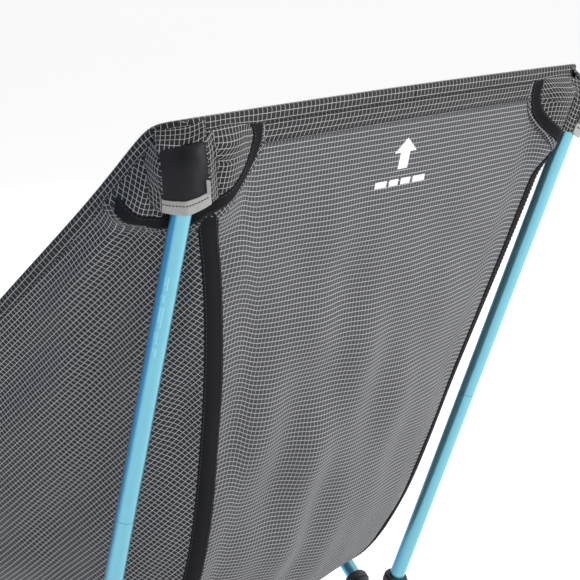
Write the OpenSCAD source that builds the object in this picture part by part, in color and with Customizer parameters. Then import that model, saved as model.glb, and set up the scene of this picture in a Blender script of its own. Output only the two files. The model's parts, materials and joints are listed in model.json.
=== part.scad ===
// Ultralight backpacking chair: a sling of ripstop fabric on a shock-corded tube frame.
// Millimetres. Origin on the ground under the middle of the chair, +Z up, front towards -Y,
// +X on the sitter's left. The frame is mirrored about X = 0.

/* [Frame points] */
// Middle of the left hub
hub_at = [160, 20, 180]; // [120:1:260]
// End of the left back pole
back_tip = [190, 200, 618]; // [150:1:640]
// End of the left front arm
arm_tip = [222, -205, 335]; // [-260:1:360]
// Left front foot on the ground
front_foot = [248, -221, 0]; // [-260:1:280]
// Left rear foot on the ground
rear_foot = [240, 224, 0]; // [0:1:280]

/* [Poles] */
// Outer diameter of every pole
pole_d = 12; // [11:0.1:13]
// Wall of every pole
pole_wall = 0.7; // [0.6:0.1:1]
// Length of the upper section of a back pole, measured from its tip
upper_section = 256; // [200:1:280]
// Length of the ferrule that joins the two back pole sections
ferrule_length = 70; // [50:1:90]
// Diameter of the elastic shock cord inside the poles
cord_d = 2.5; // [2:0.1:3]

/* [Hubs] */
// Outer diameter of a hub's sleeves
sleeve_d = 17.2; // [16.8:0.1:17.6]
// Length of a sleeve from the middle of the hub
sleeve_length = 44; // [40:1:50]
// Depth of each pole socket
socket_depth = 28; // [24:1:30]
// Play between a pole and its socket, on the radius
socket_play = 0.05; // [0.03:0.01:0.1]
// Diameter of the channel that lets the cord through the hub
cord_channel_d = 4; // [3.5:0.1:4.5]
// Thickness of the webs between the sleeves
web_thickness = 6; // [4:0.5:8]

/* [Feet and tips] */
// Largest diameter of a rubber foot
foot_d = 19; // [17:0.5:22]
// Length of a rubber foot along its leg
foot_length = 40; // [34:1:46]
// Diameter of the moulded tip on an arm or back pole
tip_d = 12.8; // [12.4:0.1:13.4]
// Length of a moulded tip beyond the end of its pole
tip_length = 9; // [8:0.5:11]

/* [Sling] */
// Thickness of a fabric panel
panel_thickness = 1; // [0.8:0.1:1.2]
// Thickness of each layer sewn onto a panel
layer_thickness = 0.8; // [0.6:0.1:1]
// Gap between two sewn layers
layer_gap = 0.1; // [0.05:0.05:0.2]
// How far a side wing bellies outwards
wing_belly = 12; // [4:1:16]
// Width of the tape over a side seam
seam_tape_w = 13; // [10:1:14]
// Half width of a pole pocket
pocket_half_w = 17; // [15:1:19]
// Room over a back pole inside its pocket, from the fabric
back_pocket_height = 17.6; // [17:0.1:20]
// Room over a front arm inside its pocket, from the fabric
front_pocket_height = 19.4; // [19:0.1:22]
// Width of the tape across a pocket's mouth
mouth_tape_w = 8; // [6:0.5:10]

/* [Sling curves] */
// Middle of the sling from the top edge to the front edge, at eight stations
centre_line = [
    [0, 200, 634], [0, 178, 530], [0, 148, 425], [0, 101, 315],
    [0, 52, 252], [0, -25, 231], [0, -110, 249], [0, -200, 285]
]; // [-260:1:640]
// Left side seam at the same stations
seam_line = [
    [187, 197, 632.5], [153, 170, 530], [127, 132, 420], [111, 90, 315],
    [105, 42, 256], [114, -32, 240], [146, -118, 262], [216, -214, 343.5]
]; // [-260:1:640]
// Left outer edge at the same stations
edge_line = [
    [201.5, 178.5, 629.5], [205, 126.5, 584.5], [209.5, 52, 526], [213.5, -22.5, 467.5],
    [216.5, -80, 425], [220, -128, 394], [224, -166, 370], [231, -195, 351.5]
]; // [-260:1:640]

/* [Hidden] */
$fn = 48;
pole_r = pole_d / 2;
bore_r = pole_r + socket_play;
sleeve_r = sleeve_d / 2;
sleeve_start = 13.5;
collar_h = 5;
collar_wall = 1.2;
collar_setback = 2;
core_r = norm([sleeve_start, sleeve_r]) + 0.6;
channel_start = 4;
hollow_r = norm([channel_start, cord_channel_d / 2]) + 0.15;
socket_floor = sleeve_length - socket_depth;
cord_r = cord_d / 2;
cord_start = 3;
leg_gap = 0.1;
foot_r = foot_d / 2;
foot_wall = 1.6;
foot_seat = 14;
foot_rib = [-26, -23, -20];
foot_dome = -12;
foot_full = -8;
foot_below = 12;
tip_r = tip_d / 2;
tip_stem = 12;
tip_fit = 0.05;
knot_size = 1.7;
pole_cord_stop = 26;
leg_cord_stop = 18;
joint_gap = 0.3;
back_length = norm(back_tip - hub_at);
joint_at = back_length - upper_section;
ferrule_r = pole_r - pole_wall - tip_fit;
ferrule_wall = 0.6;
hub_ends = [back_tip, arm_tip, front_foot, rear_foot, [-hub_at.x, hub_at.y, hub_at.z]];
web_reach = 31;
panel_rows = 42;
half_columns = 8;
wing_columns = 10;
seam_gap = 1.2;
// A patch lies this much further out than a tape, because its facets are smaller than the panel's
patch_lift = 0.5;
binding_gap = 0.4;
tape_clearance = 0.012;
// Layers lie outside the panel, counted from its middle surface
layer_1 = panel_thickness / 2 + layer_gap;
patch_low = layer_1 + patch_lift;
binding_low = patch_low + layer_thickness + binding_gap;
// Corner data: [station of the pole tip, pole's offset from the seam there, offset gained per station
// unit, station of the pocket's closed end, station of its mouth, patch reach along the outer edge,
// along the seam, and along the top or front edge, stations per millimetre along the pole, room over the
// pole in the pocket]
back_corner = [0.02, 4, 183, 0.004, 0.072, 0.125, 0.08, -0.27, 1 / 800, back_pocket_height];
front_corner = [0.012, 8, 400, 0.002, 0.05, 0.2, 0.052, -0.26, 1 / 1000, front_pocket_height];

// ---- Placing helpers ----

// Puts the children at one point with their +Z towards another
module aim(from, to) {
    d = (to - from) / norm(to - from);
    translate(from) rotate([0, acos(d.z), atan2(d.y, d.x)]) children();
}

module left() { children(); }
module right() { mirror([1, 0, 0]) children(); }

// ---- Frame ----

module tube(from, to, start, end) {
    aim(from, to) translate([0, 0, start]) difference() {
        cylinder(h = end - start, r = pole_r);
        translate([0, 0, -1]) cylinder(h = end - start + 2, r = pole_r - pole_wall);
    }
}

// Web between two sleeves, clear of their sockets
module web(end_a, end_b) {
    a = (end_a - hub_at) / norm(end_a - hub_at);
    b = (end_b - hub_at) / norm(end_b - hub_at);
    n = cross(a, b) / norm(cross(a, b));
    t = cross(n, a);
    angle = acos(a * b);
    side = (bore_r + sleeve_r) / 2;
    multmatrix([
        [a.x, t.x, n.x, hub_at.x], [a.y, t.y, n.y, hub_at.y], [a.z, t.z, n.z, hub_at.z], [0, 0, 0, 1]
    ])
        translate([0, 0, -web_thickness / 2]) linear_extrude(web_thickness) polygon([
            side / sin(angle / 2) * [cos(angle / 2), sin(angle / 2)],
            [web_reach, side],
            web_reach * [cos(angle), sin(angle)] + side * [sin(angle), -cos(angle)]
        ]);
}

// Moulded hub: a ball with five sleeves, webs between them, and a small hollow where the cords meet
module hub() {
    color("#22262a") difference() {
        union() {
            translate(hub_at) sphere(r = core_r);
            for (end = hub_ends) aim(hub_at, end) {
                translate([0, 0, sleeve_start]) cylinder(h = sleeve_length - sleeve_start, r = sleeve_r);
                translate([0, 0, sleeve_length - collar_h - collar_setback])
                    cylinder(h = collar_h, r = sleeve_r + collar_wall);
            }
            web(back_tip, arm_tip);
            web(arm_tip, front_foot);
            web(front_foot, rear_foot);
            web(rear_foot, back_tip);
        }
        translate(hub_at) sphere(r = hollow_r);
        for (end = hub_ends) aim(hub_at, end) {
            translate([0, 0, socket_floor]) cylinder(h = socket_depth + 5, r = bore_r);
            translate([0, 0, channel_start]) cylinder(h = socket_floor, d = cord_channel_d);
        }
    }
}

module cross_bar() {
    color("#5fb9d6") tube(hub_at, hub_ends[4], socket_floor, 2 * hub_at.x - socket_floor);
}

module front_arm() {
    color("#5fb9d6") tube(hub_at, arm_tip, socket_floor, norm(arm_tip - hub_at) - tip_length);
}

module back_pole_lower() {
    color("#5fb9d6") tube(hub_at, back_tip, socket_floor, joint_at);
}

module back_pole_upper() {
    color("#5fb9d6") tube(hub_at, back_tip, joint_at + joint_gap, back_length - tip_length);
}

module pole_ferrule() {
    color("silver") aim(hub_at, back_tip) translate([0, 0, joint_at - ferrule_length / 2]) difference() {
        cylinder(h = ferrule_length, r = ferrule_r);
        translate([0, 0, -1]) cylinder(h = ferrule_length + 2, r = ferrule_r - ferrule_wall);
    }
}

// Moulded tip: a stem inside the pole, a short collar and a dome whose top is at the given end
module pole_tip(end) {
    length = norm(end - hub_at);
    color("#1b1d1f") aim(hub_at, end) translate([0, 0, length - tip_length]) difference() {
        union() {
            translate([0, 0, -tip_stem]) cylinder(h = tip_stem + 1, r = ferrule_r);
            cylinder(h = tip_length - tip_r, r = tip_r);
            intersection() {
                translate([0, 0, tip_length - tip_r]) sphere(r = tip_r);
                cylinder(h = tip_length, r = tip_r);
            }
        }
        translate([0, 0, -tip_stem - 1]) cylinder(h = tip_stem - 1, r = cord_r + 1);
    }
}

// Elastic cord from the hub's channel to a knot near the pole's far end
module cord(end, stop) {
    length = norm(end - hub_at) - stop;
    color("#d8d8d4") aim(hub_at, end) {
        translate([0, 0, cord_start]) cylinder(h = length - cord_start, r = cord_r);
        translate([0, 0, length]) sphere(r = knot_size * cord_r);
    }
}

module cross_bar_cord() {
    color("#d8d8d4") aim(hub_at, hub_ends[4]) translate([0, 0, cord_start])
        cylinder(h = 2 * (hub_at.x - cord_start), r = cord_r);
}

module leg(foot) {
    color("#5fb9d6") tube(hub_at, foot, socket_floor + leg_gap, norm(foot - hub_at) - foot_seat);
}

// Rubber foot: a ribbed cup on the end of a leg, cut flat where it stands on the ground
module foot(end) {
    lip_r = bore_r + foot_wall;
    color("#1b1d1f") difference() {
        aim(hub_at, end) translate([0, 0, norm(end - hub_at)]) {
            rotate_extrude() polygon([
                [0, -foot_length], [lip_r, -foot_length], [lip_r + 0.5, -foot_length + 3],
                [lip_r, -foot_length + 6],
                [lip_r + 0.4, foot_rib[0]], [lip_r + 1, foot_rib[1]], [lip_r + 0.4, foot_rib[2]],
                [foot_r - 0.6, foot_dome], [foot_r, foot_full], [foot_r, foot_below], [0, foot_below]
            ]);
        }
        aim(hub_at, end) translate([0, 0, norm(end - hub_at) - foot_length - 1])
            cylinder(h = foot_length - foot_seat + 1, r = bore_r);
        translate([-400, -400, -60]) cube([800, 800, 60]);
    }
}

// ---- Sling surface ----

// Point on a smooth curve through the given points, s from 0 to 1
function spline(points, s) =
    let (
        n = len(points) - 1,
        k = min(n - 1, floor(s * n)),
        t = s * n - k,
        a = k > 0 ? points[k - 1] : 2 * points[0] - points[1],
        b = points[k],
        c = points[k + 1],
        d = k < n - 1 ? points[k + 2] : 2 * points[n] - points[n - 1]
    )
    (2 * b + (c - a) * t + (2 * a - 5 * b + 4 * c - d) * t * t + (-a + 3 * b - 3 * c + d) * t * t * t) / 2;

function unit(v) = v / norm(v);

// Outward normal of the flat wing at a station
function wing_normal(s) =
    unit(cross(
        spline(edge_line, s) - spline(seam_line, s),
        spline(edge_line, min(1, s + 0.01)) - spline(edge_line, max(0, s - 0.01))
    ));

// Sling point: w from -1 at the middle through 0 at the seam to 1 at the outer edge, s the station
function sling(w, s) =
    let (c = spline(centre_line, s), m = spline(seam_line, s), q = 1 + w)
    w <= 0
        ? [m.x * q, c.y + (m.y - c.y) * q * q, c.z + (m.z - c.z) * q * q]
        : let (e = spline(edge_line, s))
          m + (e - m) * w + wing_normal(s) * wing_belly * 4 * w * (1 - w) * sqrt(sin(180 * s));

// Sling point at a distance across from the seam, positive on the wing
function sling_across(d, s) =
    let (c = spline(centre_line, s), m = spline(seam_line, s), e = spline(edge_line, s))
    sling(d <= 0 ? d / norm(m - c) : min(1, d / norm(e - m)), s);

// Normal of a grid of points at one of them
function grid_normal(grid, i, j) =
    let (
        rows = len(grid) - 1,
        columns = len(grid[0]) - 1,
        across = grid[i][min(columns, j + 1)] - grid[i][max(0, j - 1)],
        down = grid[min(rows, i + 1)][j] - grid[max(0, i - 1)][j]
    )
    unit(cross(across, down));

// Grid of points moved out along its normals
function raised(grid, height) = [
    for (i = [0 : len(grid) - 1]) [
        for (j = [0 : len(grid[0]) - 1]) grid[i][j] + grid_normal(grid, i, j) * height
    ]
];

// Closed sheet between two heights over a grid of points
module sheet(grid, low, high) {
    n = len(grid);
    m = len(grid[0]);
    inner = raised(grid, low);
    outer = raised(grid, high);
    points = concat([for (row = inner) each row], [for (row = outer) each row]);
    top = n * m;
    faces = concat(
        [for (i = [0 : n - 2], j = [0 : m - 2]) each [
            [i * m + j, i * m + j + 1, (i + 1) * m + j + 1],
            [i * m + j, (i + 1) * m + j + 1, (i + 1) * m + j]
        ]],
        [for (i = [0 : n - 2], j = [0 : m - 2]) each [
            [top + i * m + j, top + (i + 1) * m + j + 1, top + i * m + j + 1],
            [top + i * m + j, top + (i + 1) * m + j, top + (i + 1) * m + j + 1]
        ]],
        [for (j = [0 : m - 2]) each [
            [j, top + j, top + j + 1], [j, top + j + 1, j + 1],
            [(n - 1) * m + j, top + (n - 1) * m + j + 1, top + (n - 1) * m + j],
            [(n - 1) * m + j, (n - 1) * m + j + 1, top + (n - 1) * m + j + 1]
        ]],
        [for (i = [0 : n - 2]) each [
            [i * m, top + (i + 1) * m, top + i * m], [i * m, (i + 1) * m, top + (i + 1) * m],
            [i * m + m - 1, top + i * m + m - 1, top + (i + 1) * m + m - 1],
            [i * m + m - 1, top + (i + 1) * m + m - 1, (i + 1) * m + m - 1]
        ]]
    );
    polyhedron(points, faces);
}

// ---- Sling pieces ----

module centre_panel() {
    flip = function (p, side) [side * p.x, p.y, p.z];
    grid = [
        for (i = [0 : panel_rows]) let (s = i / panel_rows) [
            for (j = [-half_columns : half_columns])
                let (inset = seam_gap / norm(spline(seam_line, s) - spline(centre_line, s)))
                flip(sling(-1 + (1 - inset) * abs(j) / half_columns, s), sign(j))
        ]
    ];
    color("#6b6f74") sheet(grid, -panel_thickness / 2, panel_thickness / 2);
}

module wing() {
    grid = [
        for (i = [0 : panel_rows]) let (
            s = i / panel_rows,
            start = seam_gap / norm(spline(edge_line, s) - spline(seam_line, s))
        ) [
            for (j = [0 : wing_columns]) sling(start + (1 - start) * j / wing_columns, s)
        ]
    ];
    color("#3b3f44") sheet(grid, -panel_thickness / 2, panel_thickness / 2);
}

module seam_tape() {
    first = back_corner[6] + tape_clearance;
    last = 1 - front_corner[6] - tape_clearance;
    grid = [
        for (i = [0 : panel_rows]) let (s = first + (last - first) * i / panel_rows) [
            for (d = [-seam_tape_w / 2, 0, seam_tape_w / 2]) sling_across(d, s)
        ]
    ];
    color("#161719") sheet(grid, layer_1, layer_1 + layer_thickness);
}

// Station counted from the end of the sling that a corner belongs to
function station(corner, q) = corner == back_corner ? q : 1 - q;

// Rim of a corner patch, t from 0 at the outer edge to 1 at the top or front edge
function rim(corner, t) =
    let (a = [1, corner[5]], b = [0, corner[6]], c = [corner[7], 0])
    a * (2 * t - 1) * (t - 1) + b * 4 * t * (1 - t) + c * t * (2 * t - 1);

// Fan of sling points between two fractions of the way from the corner to the patch's rim.
// A front corner runs the other way, so its rows are turned round to keep its normals outward.
function fan(corner, from, to, rows, columns) =
    let (order = corner == back_corner ? [0 : rows] : [rows : -1 : 0])
    [
        for (i = order) let (r = from + (to - from) * i / rows) [
            for (j = [0 : columns]) let (
                edge = rim(corner, 1 - j / columns),
                p = [1, 0] * (1 - r) + edge * r
            ) sling(p[0], station(corner, max(0, p[1])))
        ]
    ];

module patch(corner) {
    color("#33363a") sheet(fan(corner, 0.05, 1, 12, 16), patch_low, patch_low + layer_thickness);
}

module binding(corner) {
    color("#161719") sheet(fan(corner, 0.9, 1.02, 2, 24), binding_low, binding_low + layer_thickness);
}

// Height of a pocket over the sling, by distance from the pole's axis and from its closed end
function pocket_rise(corner, across, q) =
    let (
        open = min(1, max(0, (q - corner[3]) / (corner[0] - corner[3]))),
        arch = abs(across) < pocket_half_w ? pow(cos(90 * across / pocket_half_w), 0.8) : 0
    )
    binding_low + (corner[9] - binding_low) * arch * sin(90 * open);

// Grid over a pole from one station to another, raised over the pole
function pocket_grid(corner, q_from, q_to, rows, columns, half_w, lift) =
    let (order = corner == back_corner ? [0 : rows] : [rows : -1 : 0])
    [
        for (i = order) let (q = q_from + (q_to - q_from) * i / rows, s = station(corner, q)) [
            for (j = [0 : columns]) let (
                across = half_w * (2 * j / columns - 1),
                d = corner[1] + corner[2] * (q - corner[0]) + across,
                p = sling_across(d, s),
                n = unit(cross(sling_across(d + 2, s) - sling_across(d - 2, s),
                    sling_across(d, min(1, s + 0.005)) - sling_across(d, max(0, s - 0.005))))
            ) p + n * (pocket_rise(corner, across, q) + lift)
        ]
    ];

module pocket(corner) {
    color("#1d1f22") sheet(pocket_grid(corner, corner[3], corner[4], 9, 14, pocket_half_w, 0), 0, layer_thickness);
}

module mouth_tape(corner) {
    w = mouth_tape_w * corner[8];
    grid = pocket_grid(corner, corner[4] - w, corner[4] + 0.2 * w, 1, 14, pocket_half_w + 1,
        layer_thickness + layer_gap);
    color("#b9b6ae") sheet(grid, 0, layer_thickness);
}

// ---- Nodes ----

left() hub();  // hub_left
right() hub();  // hub_right
cross_bar();
left() front_arm();  // front_arm_left
right() front_arm();  // front_arm_right
left() back_pole_lower();  // back_pole_lower_left
right() back_pole_lower();  // back_pole_lower_right
left() back_pole_upper();  // back_pole_upper_left
right() back_pole_upper();  // back_pole_upper_right
left() pole_ferrule();  // pole_ferrule_left
right() pole_ferrule();  // pole_ferrule_right
left() pole_tip(arm_tip);  // arm_tip_left
right() pole_tip(arm_tip);  // arm_tip_right
left() pole_tip(back_tip);  // back_tip_left
right() pole_tip(back_tip);  // back_tip_right
cross_bar_cord();
left() cord(arm_tip, pole_cord_stop);  // arm_cord_left
right() cord(arm_tip, pole_cord_stop);  // arm_cord_right
left() cord(back_tip, pole_cord_stop);  // back_pole_cord_left
right() cord(back_tip, pole_cord_stop);  // back_pole_cord_right
left() leg(front_foot);  // front_leg_left
right() leg(front_foot);  // front_leg_right
left() leg(rear_foot);  // rear_leg_left
right() leg(rear_foot);  // rear_leg_right
left() foot(front_foot);  // front_foot_left
right() foot(front_foot);  // front_foot_right
left() foot(rear_foot);  // rear_foot_left
right() foot(rear_foot);  // rear_foot_right
left() cord(front_foot, leg_cord_stop);  // front_leg_cord_left
right() cord(front_foot, leg_cord_stop);  // front_leg_cord_right
left() cord(rear_foot, leg_cord_stop);  // rear_leg_cord_left
right() cord(rear_foot, leg_cord_stop);  // rear_leg_cord_right
centre_panel();
left() wing();  // wing_left
right() wing();  // wing_right
left() seam_tape();  // seam_tape_left
right() seam_tape();  // seam_tape_right
left() patch(back_corner);  // back_patch_left
right() patch(back_corner);  // back_patch_right
left() patch(front_corner);  // front_patch_left
right() patch(front_corner);  // front_patch_right
left() binding(back_corner);  // back_binding_left
right() binding(back_corner);  // back_binding_right
left() binding(front_corner);  // front_binding_left
right() binding(front_corner);  // front_binding_right
left() pocket(back_corner);  // back_pocket_left
right() pocket(back_corner);  // back_pocket_right
left() pocket(front_corner);  // front_pocket_left
right() pocket(front_corner);  // front_pocket_right
left() mouth_tape(back_corner);  // back_mouth_tape_left
right() mouth_tape(back_corner);  // back_mouth_tape_right
left() mouth_tape(front_corner);  // front_mouth_tape_left
right() mouth_tape(front_corner);  // front_mouth_tape_right
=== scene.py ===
"""Looks of the ultralight backpacking chair: fabric sling, poles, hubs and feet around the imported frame."""
import json
import math

import bpy
import numpy as np
from mathutils import Matrix, Vector


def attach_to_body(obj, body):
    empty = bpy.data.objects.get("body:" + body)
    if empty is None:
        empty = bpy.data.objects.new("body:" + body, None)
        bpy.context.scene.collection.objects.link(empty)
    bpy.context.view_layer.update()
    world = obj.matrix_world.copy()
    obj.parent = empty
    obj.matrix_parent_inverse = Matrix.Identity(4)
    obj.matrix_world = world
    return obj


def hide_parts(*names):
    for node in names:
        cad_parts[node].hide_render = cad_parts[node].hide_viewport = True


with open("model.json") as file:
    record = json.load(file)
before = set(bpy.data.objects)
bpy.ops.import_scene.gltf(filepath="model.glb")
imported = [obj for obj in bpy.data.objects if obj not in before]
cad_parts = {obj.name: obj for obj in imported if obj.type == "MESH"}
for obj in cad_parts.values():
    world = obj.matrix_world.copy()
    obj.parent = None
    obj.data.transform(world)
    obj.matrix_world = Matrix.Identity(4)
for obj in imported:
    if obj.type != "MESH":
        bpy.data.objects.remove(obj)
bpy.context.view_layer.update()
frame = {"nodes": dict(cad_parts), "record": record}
MM = 0.001
SIDES = {"left": 1.0, "right": -1.0}

# ---- design points, as in the CAD source
HUB = np.array([160, 20, 180]) * MM
BACK_TIP = np.array([190, 200, 618]) * MM
ARM_TIP = np.array([222, -205, 335]) * MM
CENTRE_LINE = np.array([
    [0, 200, 634], [0, 178, 530], [0, 148, 425], [0, 101, 315],
    [0, 52, 252], [0, -25, 231], [0, -110, 249], [0, -200, 285],
]) * MM
SEAM_LINE = np.array([
    [187, 197, 632.5], [153, 170, 530], [127, 132, 420], [111, 90, 315],
    [105, 42, 256], [114, -32, 240], [146, -118, 262], [216, -214, 343.5],
]) * MM
EDGE_LINE = np.array([
    [201.5, 178.5, 629.5], [205, 126.5, 584.5], [209.5, 52, 526], [213.5, -22.5, 467.5],
    [216.5, -80, 425], [220, -128, 394], [224, -166, 370], [231, -195, 351.5],
]) * MM
WING_BELLY = 12 * MM
BACK_FOLDS, WING_FOLDS = 2.3, 1.4


# ---- small numeric helpers
def spline(points, s):
    """Points on a smooth curve through the given ones, for an array of s from 0 to 1."""
    s = np.atleast_1d(np.asarray(s, float))
    n = len(points) - 1
    k = np.minimum(n - 1, np.floor(s * n).astype(int))
    t = (s * n - k)[:, None]
    ext = np.vstack([2 * points[0] - points[1], points, 2 * points[n] - points[n - 1]])
    a, b, c, d = ext[k], ext[k + 1], ext[k + 2], ext[k + 3]
    square, cube = 2 * a - 5 * b + 4 * c - d, 3 * b - 3 * c + d - a
    return 0.5 * (2 * b + (c - a) * t + square * t ** 2 + cube * t ** 3)


def unit(v):
    return v / np.maximum(np.linalg.norm(v, axis=-1, keepdims=True), 1e-12)


def smooth_step(x):
    x = np.clip(x, 0, 1)
    return x * x * (3 - 2 * x)


def grid_normals(p):
    across = np.gradient(p, axis=1)
    down = np.gradient(p, axis=0)
    return unit(np.cross(across, down))


def lengths(points):
    """Running length along a polyline."""
    steps = np.linalg.norm(np.diff(points, axis=0), axis=1)
    return np.concatenate([[0], np.cumsum(steps)])


# ---- the sling's middle surface
# A place on the sling is (a, v): a is -2 and 2 at the outer edges, -1 and 1 at the seams and 0 in the
# middle; v is 0 at the top edge and 1 at the front edge.
class Surface:
    def __init__(self, rows=240, half=44, wing=40):
        self.v = np.linspace(0, 1, rows)
        right_half = np.concatenate([np.linspace(0, 1, half + 1), 1 + np.linspace(0, 1, wing + 1)[1:]])
        self.a = np.concatenate([-right_half[:0:-1], right_half])
        self.points = self.shape()
        self.soften_corners()
        self.fold()
        self.normals = grid_normals(self.points)

    def lift(self, corner):
        """Pulls a corner's cloth up to the pole's tip, as the tight pocket does, with a groove under it."""
        mirror = np.array([corner.side, 1, 1])
        points = self.points * mirror
        x, s, h = corner.local(points)
        rim = np.concatenate([points[0], points[-1], points[:, 0], points[:, -1]])
        rim = rim[np.linalg.norm(rim - corner.tip, axis=1) < 0.12]
        near = np.linalg.norm(points - corner.tip, axis=2) < 0.1
        from_rim = np.full(x.shape, 1.0)
        from_rim[near] = np.min(np.linalg.norm(points[near][:, None] - rim[None], axis=2), axis=1)
        window = (smooth_step((from_rim - 4 * MM) / (11 * MM)) * smooth_step((70 * MM - s) / (28 * MM))
                  * smooth_step((44 * MM - x) / (24 * MM)) * smooth_step((60 * MM + x) / (30 * MM)) * near)
        groove = smooth_step((11 * MM - np.abs(x)) / (7 * MM)) * smooth_step((s + 2 * MM) / (6 * MM))
        target = SEW_HEIGHT - (SEW_HEIGHT - UNDER_POLE) * groove
        move = np.clip((target - h) * window, -2 * MM, 13 * MM)
        self.points = self.points + corner.out * mirror * move[..., None]
        self.normals = grid_normals(self.points)

    def shape(self):
        c, m, e = (spline(line, self.v) for line in (CENTRE_LINE, SEAM_LINE, EDGE_LINE))
        step = 0.01
        before, after = np.maximum(0, self.v - step), np.minimum(1, self.v + step)
        ahead = spline(EDGE_LINE, after) - spline(EDGE_LINE, before)
        wing_out = unit(np.cross(e - m, ahead))
        grid = np.zeros((len(self.v), len(self.a), 3))
        belly = WING_BELLY * np.sqrt(np.maximum(0, np.sin(math.pi * self.v)))
        for j, a in enumerate(self.a):
            q = abs(a)
            if q <= 1:
                p = c + (m - c) * q * q
                p[:, 0] = m[:, 0] * q
            else:
                w = q - 1
                p = m + (e - m) * w + wing_out * (belly * 4 * w * (1 - w))[:, None]
            grid[:, j] = p * np.array([math.copysign(1, a), 1, 1])
        return grid

    def soften_corners(self, reach=0.048, passes=60):
        """Rounds the four corners of the cloth, where the seams run out."""
        p = self.points
        near = np.zeros(p.shape[:2])
        for i in (0, -1):
            for j in (0, -1):
                near = np.maximum(near, smooth_step(1.25 - np.linalg.norm(p - p[i, j], axis=2) / reach))
        near = near[..., None] * 0.5
        for _ in range(passes):
            q = p.copy()
            q[1:-1, 1:-1] = (p[:-2, 1:-1] + p[2:, 1:-1] + p[1:-1, :-2] + p[1:-1, 2:]) / 4
            for i in (0, -1):
                q[i, 1:-1] = (p[i, :-2] + p[i, 2:]) / 2
            for j in (0, -1):
                q[1:-1, j] = (p[:-2, j] + p[2:, j]) / 2
            for i, i2 in ((0, 1), (-1, -2)):
                for j, j2 in ((0, 1), (-1, -2)):
                    q[i, j] = (p[i2, j] + p[i, j2]) / 2
            p = p + (q - p) * near
        self.points = p

    def fold(self):
        """Soft folds: long ones down the back, pulls from the corners, and slack along the seams."""
        v, a = np.meshgrid(self.v, self.a, indexing="ij")
        q = np.abs(a)
        centre = smooth_step((1 - q) / 0.15)
        back = smooth_step((v - 0.04) / 0.1) * smooth_step((0.62 - v) / 0.2)
        x = self.points[..., 0] / MM
        drift = 26 * np.sin(v * 9 + 0.6)
        deep = 0.25 + 0.75 * smooth_step((v - 0.12) / 0.2)
        long_folds = 1.1 * np.sin((x + drift) / 11.5) + 0.8 * np.sin((x - 0.6 * drift) / 6.9 + 1.3)
        across = 0.7 * np.sin(v * 61 + x / 40) * np.sin(x / 37 + 0.4)
        rise = centre * back * (deep * long_folds * (0.55 + 0.45 * np.sin(x / 53 + 0.5)) + across)
        wing = smooth_step((q - 1) / 0.12) * smooth_step((2 - q) / 0.2)
        run = smooth_step((v - 0.06) / 0.08) * smooth_step((0.94 - v) / 0.1)
        w = q - 1
        wing_folds = 1.5 * np.sin(w * 16 + v * 10 + 0.8 * np.sin(v * 23)) + 0.7 * np.sin(w * 31 - v * 21)
        seat = smooth_step((v - 0.55) / 0.1) * smooth_step((0.97 - v) / 0.1) * centre
        seat_folds = 1.6 * np.sin(x / 23 + 3 * v) * np.sin(v * 17) + 0.6 * np.sin(x / 12.5 + 9 * v)
        rise = BACK_FOLDS * rise + WING_FOLDS * wing * run * wing_folds + seat * seat_folds
        self.points = self.points + grid_normals(self.points) * (rise * MM)[..., None]

    def _sample(self, table, a, v):
        a, v = np.broadcast_arrays(np.asarray(a, float), np.asarray(v, float))
        i = np.clip(np.interp(v, self.v, np.arange(len(self.v))), 0, len(self.v) - 1.000001)
        j = np.clip(np.interp(a, self.a, np.arange(len(self.a))), 0, len(self.a) - 1.000001)
        i0, j0 = i.astype(int), j.astype(int)
        s, t = (i - i0)[..., None], (j - j0)[..., None]
        return (table[i0, j0] * (1 - s) * (1 - t) + table[i0 + 1, j0] * s * (1 - t)
                + table[i0, j0 + 1] * (1 - s) * t + table[i0 + 1, j0 + 1] * s * t)

    def at(self, a, v, height=0.0):
        """Points on the sling, raised outwards by a height in metres."""
        height = np.asarray(height, float)
        return self._sample(self.points, a, v) + unit(self._sample(self.normals, a, v)) * height[..., None]

    def normal(self, a, v):
        return unit(self._sample(self.normals, a, v))

    def a_across(self, side, distance, v):
        """The a at a distance across from a side's seam, positive on the wing. Distance and v match."""
        distance, v = np.broadcast_arrays(np.asarray(distance, float), np.asarray(v, float))
        out = np.empty(distance.shape)
        mine = self.a * side >= 0
        cols = self.a[mine]
        for index in np.ndindex(distance.shape):
            row = self._sample(self.points, cols, np.full(cols.shape, v[index]))
            order = np.argsort(cols * side)
            run = lengths(row[order])
            run = run - np.interp(1.0, cols[order] * side, run)
            out[index] = np.interp(distance[index], run, cols[order] * side)
        return out * side


cloth = Surface()
# Heights of the corner cloth from the pole's axis, beside the pole and in the groove under it
SEW_HEIGHT = -4.5 * MM
UNDER_POLE = -8.0 * MM


# ---- mesh helpers
def new_object(name, verts, faces, material, uvs=None, smooth=True):
    """uvs is one pair per vertex, in metres along the cloth."""
    mesh = bpy.data.meshes.new(name)
    mesh.from_pydata([tuple(map(float, p)) for p in verts], [], faces)
    mesh.update()
    if uvs is not None:
        layer = mesh.uv_layers.new(name="weave")
        loops = np.empty(len(mesh.loops), dtype=np.int32)
        mesh.loops.foreach_get("vertex_index", loops)
        layer.data.foreach_set("uv", np.asarray(uvs, dtype=np.float32)[loops].ravel())
    if smooth:
        mesh.polygons.foreach_set("use_smooth", [True] * len(mesh.polygons))
    obj = bpy.data.objects.new(name, mesh)
    bpy.context.scene.collection.objects.link(obj)
    if material:
        mesh.materials.append(material)
    return obj


def grid_faces(rows, cols, flip=False):
    i, j = np.meshgrid(np.arange(rows - 1), np.arange(cols - 1), indexing="ij")
    a = (i * cols + j).ravel()
    quads = np.stack([a, a + 1, a + cols + 1, a + cols], axis=1)
    if flip:
        quads = quads[:, ::-1]
    return quads.tolist()


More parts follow.
